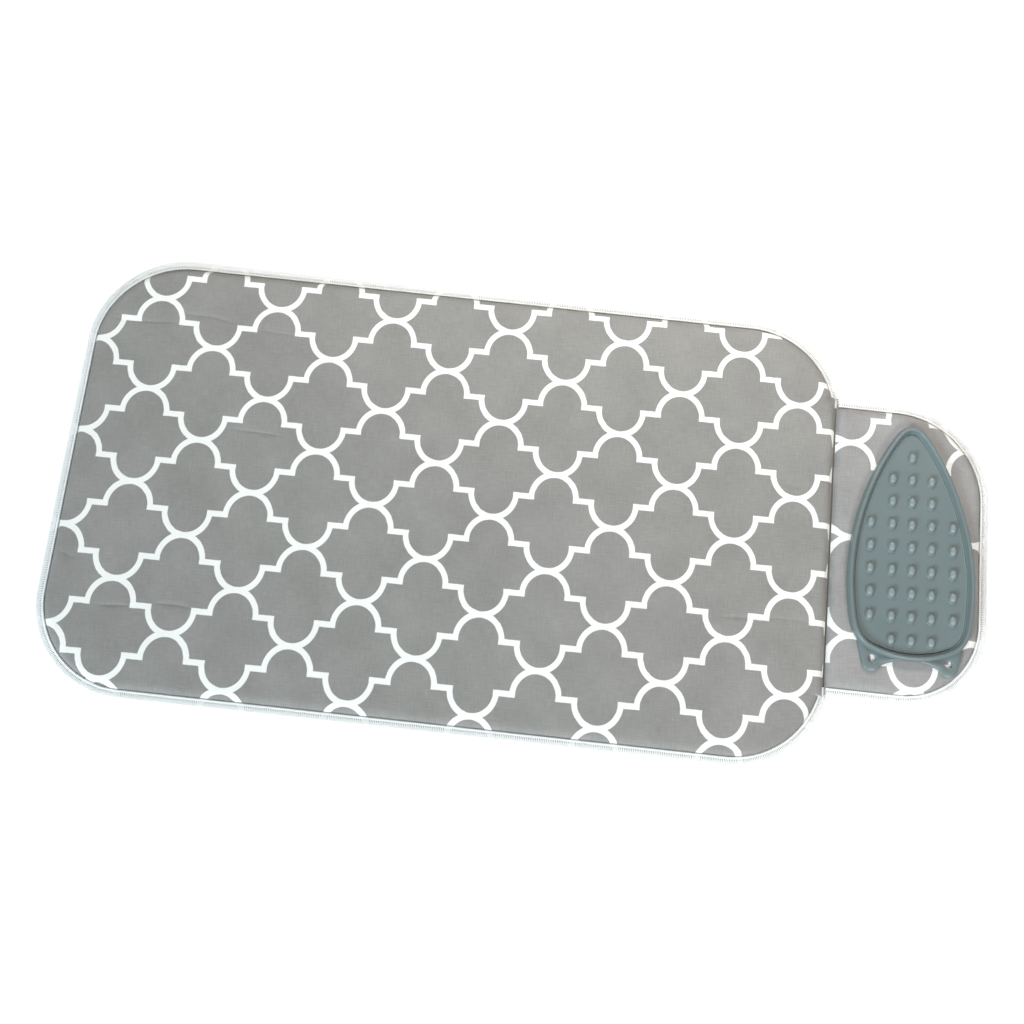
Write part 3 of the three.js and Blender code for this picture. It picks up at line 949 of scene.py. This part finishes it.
def ear_solid():
    """Points and faces of the right-hand ear, with rounded edges and its hole."""
    outline = ear_outline()
    centre = np.array([EAR_SPACING / 2, -REST_LENGTH / 2])
    towards = np.arctan2(outline[:, 1] - centre[1], outline[:, 0] - centre[0])
    circle = np.column_stack([np.cos(towards), np.sin(towards)])
    hole = centre + EAR_HOLE / 2 * circle
    wide_hole = centre + (EAR_HOLE / 2 + EAR_ROUND) * circle
    drawn = drawn_in(outline, EAR_ROUND)
    loops = [
        lift(hole, EAR_ROUND / 2),
        lift(wide_hole, 0),
        lift(drawn, 0),
        lift(outline, EAR_ROUND),
        lift(outline, REST_FLOOR - EAR_ROUND),
        lift(drawn, REST_FLOOR),
        lift(wide_hole, REST_FLOOR),
        lift(hole, REST_FLOOR - EAR_ROUND / 2),
    ]
    size = len(outline)
    faces = []
    for k in range(len(loops)):
        faces += bridge(size, size * k, size * ((k + 1) % len(loops)))
    return np.concatenate(loops), faces


def together(*solids):
    """Points and faces of several solids that overlap."""
    points, faces = [], []
    for solid_points, solid_faces in solids:
        start = sum(len(part) for part in points)
        points.append(solid_points)
        faces += [[start + corner for corner in face] for face in solid_faces]
    return np.concatenate(points), faces


def paint_highlights(mesh):
    """Mark for the material where a highlight is painted on the rest: the tops of its studs and the bead
    inside its rim.
    """
    size = len(rest_outline())
    first = len(RIM_SECTION) * size
    heights = np.array([height for _, height in STUD_SECTION]).repeat(STUD_SIDES)
    on_studs = np.tile(smooth(heights, STUD_HIGHLIGHT_FROM, 1), len(stud_places()))
    values = np.zeros(len(mesh.vertices))
    # Painted highlight: full on the rim's bead, and rising up each stud
    values[RIM_BEAD * size:(RIM_BEAD + 1) * size] = 1
    values[first:first + len(on_studs)] = on_studs
    mesh.attributes.new("rubbed", "FLOAT", "POINT").data.foreach_set("value", values)


def iron_rest(material):
    """The silicone rest, joined from its tray and two ears, and laid on the flap."""
    points, faces = ear_solid()
    points[:, 2] += EAR_LIFT
    other_ear = points * (-1, 1, 1), [face[::-1] for face in faces]
    points, faces = together(rest_tray(), (points, faces), other_ear)
    cosine, sine = math.cos(REST_TURN), math.sin(REST_TURN)
    points[:, :2] = points[:, :2] @ np.array([[cosine, sine], [-sine, cosine]])
    points += (seam_x + REST_FROM_SEAM, REST_SHIFT, rest_low.z)
    piece = make_object("iron_rest_moulding", points, faces, material)
    paint_highlights(piece.data)
    settle(piece, "rest", "silicone", "iron_rest")


# Materials


def colour(screen):
    """A colour given as screen values from 0 to 255, for a shader."""
    linear = []
    for value in screen:
        share = value / 255
        linear.append(share / 12.92 if share <= 0.04045 else ((share + 0.055) / 1.055) ** 2.4)
    return (*linear, 1.0)


class Shader:
    """A material under construction."""

    def __init__(self, name, roughness, specular, sheen=0.0):
        self.material = bpy.data.materials.new(name)
        self.material.use_nodes = True
        self.tree = self.material.node_tree
        self.surface = self.tree.nodes["Principled BSDF"]
        self.surface.inputs["Roughness"].default_value = roughness
        self.surface.inputs["Specular IOR Level"].default_value = specular
        self.surface.inputs["Sheen Weight"].default_value = sheen
        self.place = self.add("TexCoord").outputs["Object"]

    def add(self, kind):
        """A new node of a kind."""
        return self.tree.nodes.new("ShaderNode" + kind)

    def put(self, value, socket):
        """Feed a number, a colour or another node's output to an input."""
        if isinstance(value, bpy.types.NodeSocket):
            self.tree.links.new(value, socket)
        else:
            socket.default_value = value

    def math(self, operation, *values):
        """The result of a sum."""
        node = self.add("Math")
        node.operation = operation
        for value, socket in zip(values, node.inputs):
            self.put(value, socket)
        return node.outputs[0]

    def noise(self, scale, stretch=(1, 1, 1), detail=2.0):
        """Smooth noise from 0 to 1."""
        mapping = self.add("Mapping")
        mapping.inputs["Scale"].default_value = stretch
        self.put(self.place, mapping.inputs["Vector"])
        node = self.add("TexNoise")
        node.inputs["Scale"].default_value = scale
        node.inputs["Detail"].default_value = detail
        self.put(mapping.outputs[0], node.inputs["Vector"])
        return node.outputs["Fac"]

    def vary(self, noise_value, amount, middle=1.0):
        """A value that varies by an amount around a middle one."""
        return self.math("MULTIPLY_ADD", noise_value, amount, middle - amount / 2)

    def xy(self):
        """Where a point lies in plan."""
        node = self.add("SeparateXYZ")
        self.put(self.place, node.inputs[0])
        return node.outputs[0], node.outputs[1]

    def painted(self, name):
        """A value that the mesh holds for each of its points."""
        node = self.add("Attribute")
        node.attribute_name = name
        return node.outputs["Fac"]

    def soft_step(self, value, start, end, low, high):
        """A soft change from low at start to high at end."""
        node = self.add("MapRange")
        node.interpolation_type = "SMOOTHSTEP"
        for socket, number in zip(node.inputs, (value, start, end, low, high)):
            self.put(number, socket)
        return node.outputs[0]

    def mix(self, share, first, second):
        """The first colour where a share is 0, and the second where it is 1."""
        node = self.add("Mix")
        node.data_type = "RGBA"
        self.put(share, node.inputs["Factor"])
        colours = [socket for socket in node.inputs if socket.type == "RGBA"]
        self.put(first, colours[0])
        self.put(second, colours[1])
        return [socket for socket in node.outputs if socket.type == "RGBA"][0]

    def shaded(self, tint, amount):
        """A colour made lighter or darker by a factor that varies around 1."""
        node = self.add("VectorMath")
        node.operation = "SCALE"
        self.put(tint if isinstance(tint, bpy.types.NodeSocket) else tint[:3], node.inputs[0])
        self.put(amount, node.inputs["Scale"])
        return node.outputs[0]

    def finish(self, tint, height, distance=0.2 * MM, strength=0.5):
        """The material, with a colour and fine bumps."""
        self.put(tint, self.surface.inputs["Base Color"])
        bump = self.add("Bump")
        bump.inputs["Strength"].default_value = strength
        bump.inputs["Distance"].default_value = distance
        self.put(height, bump.inputs["Height"])
        self.put(bump.outputs[0], self.surface.inputs["Normal"])
        return self.material


def weave(shader, pitch):
    """Height of a plain weave: a bump where each thread passes over another."""
    bumps = []
    for place in shader.xy():
        wave = shader.math("SINE", shader.math("MULTIPLY", place, math.pi / pitch))
        bumps.append(shader.math("ABSOLUTE", wave))
    return shader.math("MULTIPLY", *bumps)


def slubs(shader, amount):
    """Lighter and darker threads both ways, and slow patches, around 1."""
    warp = shader.noise(1.0, stretch=(THREAD_LENGTHS, THREAD_WIDTHS, 1))
    weft = shader.noise(1.0, stretch=(THREAD_WIDTHS, THREAD_LENGTHS, 1))
    patch = shader.noise(CLOTH_PATCHES)
    total = shader.math("ADD", shader.math("ADD", warp, weft), patch)
    return shader.math("MULTIPLY_ADD", total, amount, 1 - 1.5 * amount)


def trellis(shader, start, turn):
    """1 on the print's white lines and 0 between them."""
    work = shader.math
    x, y = shader.xy()
    wobble = shader.vary(shader.noise(WOBBLES), PRINT_WOBBLE, middle=0.0)
    right = work("ADD", work("SUBTRACT", x, start[0]), wobble)
    away = work("ADD", work("SUBTRACT", y, start[1]), wobble)
    cosine, sine = math.cos(turn), math.sin(turn)
    x = work("MULTIPLY_ADD", away, sine, work("MULTIPLY", right, cosine))
    y = work("MULTIPLY_ADD", right, -sine, work("MULTIPLY", away, cosine))
    half_lobe = PRINT_HEIGHT / 4
    column = work("PINGPONG", x, PRINT_WIDTH / 2)
    near = work("PINGPONG", x, PRINT_WIDTH / 4)
    row = work("PINGPONG", y, PRINT_HEIGHT / 2)
    flipped = work("GREATER_THAN", column, PRINT_WIDTH / 4)
    change = work("MULTIPLY_ADD", row, -2.0, PRINT_HEIGHT / 2)
    down = work("MULTIPLY_ADD", flipped, change, row)
    drop = work("SUBTRACT", down, half_lobe)
    wide = work("DIVIDE", near, PRINT_LOBE)
    high = work("DIVIDE", drop, half_lobe)
    squares = work("MULTIPLY_ADD", wide, wide, work("MULTIPLY", high, high))
    ring = work("ABSOLUTE", work("SUBTRACT", work("SQRT", squares), 1.0))
    lobe = work("MULTIPLY", ring, (PRINT_LOBE + half_lobe) / 2)
    lobe = work("MAXIMUM", lobe, drop)
    step = work("SUBTRACT", PRINT_LOBE, near)
    step = work("MAXIMUM", step, work("ABSOLUTE", drop))
    gap = work("MINIMUM", lobe, step)
    inside, outside = PRINT_LINE / 2 - PRINT_EDGE, PRINT_LINE / 2 + PRINT_EDGE
    return shader.soft_step(gap, inside, outside, low=1.0, high=0.0)


def printed_cotton(name, tint, start, turn):
    """Grey cotton printed with a white trellis."""
    shader = Shader(name, roughness=0.9, specular=0.2, sheen=0.08)
    grey = shader.shaded(colour(tint), slubs(shader, amount=0.32))
    white = shader.shaded(colour(PRINT_WHITE), slubs(shader, amount=0.06))
    lines = trellis(shader, start, turn)
    return shader.finish(shader.mix(lines, grey, white), weave(shader, COVER_WEAVE))


def plain_cotton(name, tint):
    """Cotton of one colour."""
    shader = Shader(name, roughness=0.92, specular=0.2, sheen=0.08)
    return shader.finish(shader.shaded(colour(tint), slubs(shader, amount=0.1)), weave(shader, BACK_WEAVE))


def matted_fibre(name, tint, scale):
    """Wadding or felt: matted fibres with no weave."""
    shader = Shader(name, roughness=0.95, specular=0.1, sheen=0.2)
    fibres = shader.noise(scale, detail=6.0)
    mottled = shader.shaded(colour(tint), shader.vary(fibres, 0.3))
    return shader.finish(mottled, fibres, distance=0.6 * MM, strength=0.8)


def silver_cloth(name):
    """Aluminised cloth with a fine crinkle."""
    shader = Shader(name, roughness=0.35, specular=0.5)
    shader.surface.inputs["Metallic"].default_value = 0.7
    crinkle = shader.noise(SILVER_CRINKLES, detail=4.0)
    silver = shader.shaded(colour(SILVER), shader.vary(crinkle, 0.2))
    return shader.finish(silver, crinkle, distance=0.3 * MM, strength=0.7)


def white_thread(name):
    """Bulky white overlock thread."""
    shader = Shader(name, roughness=0.8, specular=0.25, sheen=0.1)
    fibres = shader.noise(THREAD_FIBRES, detail=3.0)
    white = shader.shaded(colour(THREAD_WHITE), shader.vary(fibres, 0.12))
    return shader.finish(white, fibres, distance=0.1 * MM, strength=0.5)


def silicone(name):
    """Grey-green silicone with a fine satin grain and faint dust, and a painted highlight on its stud tops
    and the bead inside its rim.
    """
    shader = Shader(name, roughness=SILICONE_ROUGHNESS, specular=0.5)
    grain = shader.noise(SILICONE_GRAIN, detail=3.0)
    dust = shader.noise(SILICONE_DUST, detail=4.0)
    shader.put(shader.vary(dust, 0.12, middle=SILICONE_ROUGHNESS), shader.surface.inputs["Roughness"])
    # Painted highlight where the mesh marks it
    tint = shader.mix(shader.painted("rubbed"), colour(SILICONE_GREY), colour(SILICONE_HIGHLIGHT))
    dusty = shader.shaded(tint, shader.vary(dust, 0.12))
    return shader.finish(dusty, grain, distance=0.05 * MM, strength=0.4)


# Stage, light and camera


def mixed(tree, share, first, second):
    """The first shader where a share is 0, and the second where it is 1."""
    node = tree.nodes.new("ShaderNodeMixShader")
    for source, socket in zip((share, first, second), node.inputs):
        tree.links.new(source, socket)
    return node.outputs[0]


def floor_material():
    """White floor that keeps the shadow, and is open to the eye and to light from below."""
    material = bpy.data.materials.new("floor_white")
    material.use_nodes = True
    tree = material.node_tree
    tree.nodes.clear()
    add = tree.nodes.new
    diffuse = add("ShaderNodeBsdfDiffuse")
    diffuse.inputs["Color"].default_value = FLOOR_SEEN
    plain = add("ShaderNodeBsdfDiffuse")
    plain.inputs["Color"].default_value = FLOOR_BOUNCE
    glow = add("ShaderNodeEmission")
    glow.inputs["Strength"].default_value = FLOOR_GLOW
    lit = add("ShaderNodeAddShader")
    tree.links.new(diffuse.outputs[0], lit.inputs[0])
    tree.links.new(glow.outputs[0], lit.inputs[1])
    rays = add("ShaderNodeLightPath").outputs
    below = add("ShaderNodeMath")
    below.operation = "MAXIMUM"
    tree.links.new(add("ShaderNodeNewGeometry").outputs["Backfacing"], below.inputs[0])
    tree.links.new(rays["Is Shadow Ray"], below.inputs[1])
    clear = add("ShaderNodeBsdfTransparent")
    seen = mixed(tree, rays["Is Camera Ray"], plain.outputs[0], lit.outputs[0])
    surface = mixed(tree, below.outputs[0], seen, clear.outputs[0])
    tree.links.new(surface, add("ShaderNodeOutputMaterial").inputs[0])
    return material


def floor():
    """A wide floor just under the pad."""
    reach = FLOOR_REACH
    corners = np.array([(-reach, -reach), (reach, -reach), (reach, reach), (-reach, reach)])
    mesh = new_mesh("floor", lift(corners, -FLOOR_DROP), [[0, 1, 2, 3]])
    mesh.materials.append(floor_material())
    in_scene("floor", mesh)


def soft_light(name, place, aim, size, power, tint):
    """A lamp with a rectangular face, its size given as width and depth."""
    lamp = bpy.data.lights.new(name, "AREA")
    lamp.shape = "RECTANGLE"
    lamp.size, lamp.size_y = size
    lamp.energy = power
    lamp.color = tint
    light = in_scene(name, lamp)
    light.location = place
    light.rotation_euler = (Vector(aim) - Vector(place)).to_track_quat("-Z", "Y").to_euler()
    light.visible_camera = False


def world_light():
    """Soft light from all around, which the eye sees as white."""
    world = bpy.data.worlds.new("studio")
    world.use_nodes = True
    tree = world.node_tree
    back = tree.nodes["Background"]
    back.inputs["Color"].default_value = SKY_TINT
    back.inputs["Strength"].default_value = SKY_STRENGTH
    white = tree.nodes.new("ShaderNodeBackground")
    rays = tree.nodes.new("ShaderNodeLightPath")
    sky = mixed(tree, rays.outputs["Is Camera Ray"], back.outputs[0], white.outputs[0])
    tree.links.new(sky, tree.nodes["World Output"].inputs[0])
    bpy.context.scene.world = world


def camera():
    """The eye of the photograph."""
    data = bpy.data.cameras.new("photograph")
    data.lens = CAMERA_LENS
    data.sensor_width = CAMERA_SENSOR
    eye = in_scene("photograph", data)
    eye.location = CAMERA_PLACE
    eye.rotation_mode = "QUATERNION"
    towards = (Vector(CAMERA_AIM) - Vector(CAMERA_PLACE)).to_track_quat("-Z", "Y")
    eye.rotation_quaternion = towards @ Quaternion((0, 0, 1), CAMERA_ROLL)
    bpy.context.scene.camera = eye


def stage():
    """Floor, light and camera."""
    bpy.context.scene.view_settings.view_transform = "Standard"
    floor()
    world_light()
    for name, lamp in LAMPS.items():
        soft_light(name, *lamp)
    camera()


def pad():
    """The pad's materials and all its pieces."""
    main_print = printed_cotton("main_printed_cotton", MAIN_GREY, MAIN_PRINT, MAIN_PRINT_TURN)
    # Painted light: the flap's grey is lighter than the main panel's
    flap_print = printed_cotton("flap_printed_cotton", FLAP_GREY_PAINTED_LIGHT, FLAP_PRINT, FLAP_PRINT_TURN)
    back = plain_cotton("back_cotton", BACK_COTTON)
    thread = white_thread("overlock_thread")
    layers = {
        "wadding": matted_fibre("wadding_fibre", WADDING_CREAM, WADDING_FIBRES),
        "heat_barrier": silver_cloth("silver_cloth"),
        "felt": matted_fibre("felt_fibre", FELT_GREY, FELT_FIBRES),
    }
    for name, panel in (("main", main_panel), ("flap", flap_panel)):
        filling(name, panel, layers)
        backing_piece(name, panel, back)
        overlock(name, panel, thread)
    main_cover(main_print)
    flap_cover(flap_print)
    # The tape's darker grey is painted shade in the seam
    hinge_strip(plain_cotton("tape_cotton", TAPE_SEAM_SHADE))
    iron_rest(silicone("grey_silicone"))


stage()
pad()
